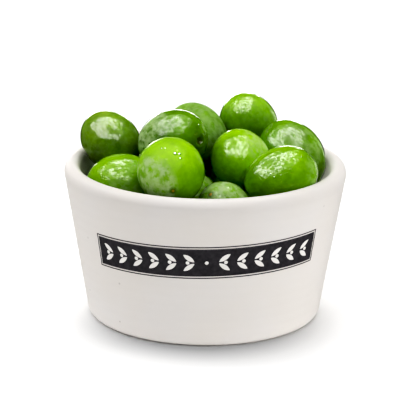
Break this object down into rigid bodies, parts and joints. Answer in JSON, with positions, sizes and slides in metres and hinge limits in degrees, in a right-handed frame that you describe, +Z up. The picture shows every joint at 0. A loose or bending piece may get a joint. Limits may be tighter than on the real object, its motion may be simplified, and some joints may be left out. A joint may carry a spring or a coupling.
{
  "type": "dish of olives",
  "caption": "Small tapered stoneware bowl with a rounded lip, heaped above its rim with large glossy green table olives, served as a starter or snack.",
  "frame": {"origin": "middle of the bowl's foot, on the surface it stands on", "axes": "+Z up out of the bowl, -Y out of the front of the bowl, where its printed band is, +X to the right"},
  "size_m": [0.09, 0.09, 0.0674],
  "materials": {
    "stoneware": "satin off-white glaze",
    "olive_skin": "wet, glossy, bright green skin with fine creases",
    "printed_band": "near-black fired print with a pale pattern, under the glaze"
  },
  "bodies": {
    "root": {"bowl": "stoneware", "olives": "olive_skin"}
  },
  "joints": []
}
